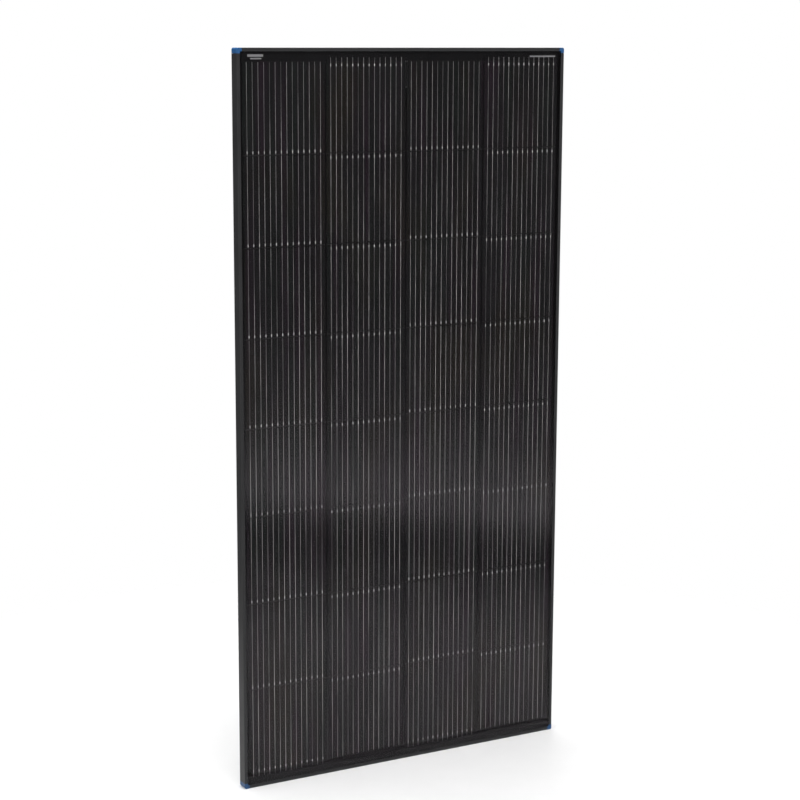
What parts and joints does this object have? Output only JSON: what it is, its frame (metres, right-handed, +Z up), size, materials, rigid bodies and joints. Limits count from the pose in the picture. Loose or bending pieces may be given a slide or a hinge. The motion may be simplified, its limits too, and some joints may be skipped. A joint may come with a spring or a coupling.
{
  "type": "solar panel",
  "caption": "Rigid all-black solar panel with a slim aluminium frame, blue plastic corner pieces, wired cells under glass and a hinged junction box on the back.",
  "frame": {"origin": "middle of the bottom face, the short side that is down in the picture", "axes": "+Z up the panel's length, +Y from the glass to the back, X across the panel"},
  "size_m": [0.762, 0.025, 1.524],
  "materials": {
    "frame_aluminium": "black anodised, satin",
    "corner_plastic": "moulded, satin blue",
    "front_glass": "low-iron, lightly matt",
    "encapsulant": "clear, laminated",
    "backsheet": "black, fine matt",
    "sealant": "black silicone",
    "cell_silicon": "dark blue-black wafer",
    "tinned_copper": "tinned, satin",
    "box_plastic": "black, fine spark texture",
    "nut_plastic": "black, satin",
    "terminal_metal": "tinned, satin",
    "diode_case": "black epoxy",
    "gland_rubber": "black, matt"
  },
  "bodies": {
    "panel": {"frame_rail_left": "frame_aluminium", "frame_rail_top": "frame_aluminium", "frame_rail_right": "frame_aluminium", "frame_rail_bottom": "frame_aluminium", "corner_piece_bottom_left": "corner_plastic", "corner_piece_top_left": "corner_plastic", "corner_piece_top_right": "corner_plastic", "corner_piece_bottom_right": "corner_plastic", "glass": "front_glass", "encapsulant": "encapsulant", "backsheet": "backsheet", "edge_seal": "sealant", "cell_column_1_row_1": "cell_silicon", "cell_column_1_row_2": "cell_silicon", "cell_column_1_row_3": "cell_silicon", "cell_column_1_row_4": "cell_silicon", "cell_column_1_row_5": "cell_silicon", "cell_column_1_row_6": "cell_silicon", "cell_column_1_row_7": "cell_silicon", "cell_column_1_row_8": "cell_silicon", "cell_column_2_row_1": "cell_silicon", "cell_column_2_row_2": "cell_silicon", "cell_column_2_row_3": "cell_silicon", "cell_column_2_row_4": "cell_silicon", "cell_column_2_row_5": "cell_silicon", "cell_column_2_row_6": "cell_silicon", "cell_column_2_row_7": "cell_silicon", "cell_column_2_row_8": "cell_silicon", "cell_column_3_row_1": "cell_silicon", "cell_column_3_row_2": "cell_silicon", "cell_column_3_row_3": "cell_silicon", "cell_column_3_row_4": "cell_silicon", "cell_column_3_row_5": "cell_silicon", "cell_column_3_row_6": "cell_silicon", "cell_column_3_row_7": "cell_silicon", "cell_column_3_row_8": "cell_silicon", "cell_column_4_row_1": "cell_silicon", "cell_column_4_row_2": "cell_silicon", "cell_column_4_row_3": "cell_silicon", "cell_column_4_row_4": "cell_silicon", "cell_column_4_row_5": "cell_silicon", "cell_column_4_row_6": "cell_silicon", "cell_column_4_row_7": "cell_silicon", "cell_column_4_row_8": "cell_silicon", "string_wires_left": "tinned_copper", "string_wires_right": "tinned_copper", "bus_ribbon_left": "tinned_copper", "bus_ribbon_middle": "tinned_copper", "bus_ribbon_right": "tinned_copper", "junction_box_base": "box_plastic", "terminal_left": "terminal_metal", "terminal_middle": "terminal_metal", "terminal_right": "terminal_metal", "bypass_diode_left": "diode_case", "gland_seal_left": "gland_rubber", "bypass_diode_right": "diode_case", "gland_seal_right": "gland_rubber"},
    "junction_box_lid": {"junction_box_lid": "box_plastic"},
    "gland_nut_left": {"gland_nut_left": "nut_plastic"},
    "gland_nut_right": {"gland_nut_right": "nut_plastic"}
  },
  "joints": [
    {"name": "lid_hinge", "type": "hinge", "parent": "panel", "child": "junction_box_lid", "pos_m": [0, 0.009, 1.4676], "axis": [1, 0, 0], "range_deg": [0, 115]},
    {"name": "gland_nut_left_turn", "type": "hinge", "parent": "panel", "child": "gland_nut_left", "pos_m": [-0.036, 0.0034, 1.3583], "axis": [0, 0, -1], "range_deg": [0, 720]},
    {"name": "gland_nut_right_turn", "type": "hinge", "parent": "panel", "child": "gland_nut_right", "pos_m": [0.036, 0.0034, 1.3583], "axis": [0, 0, -1], "range_deg": [0, 720]}
  ]
}
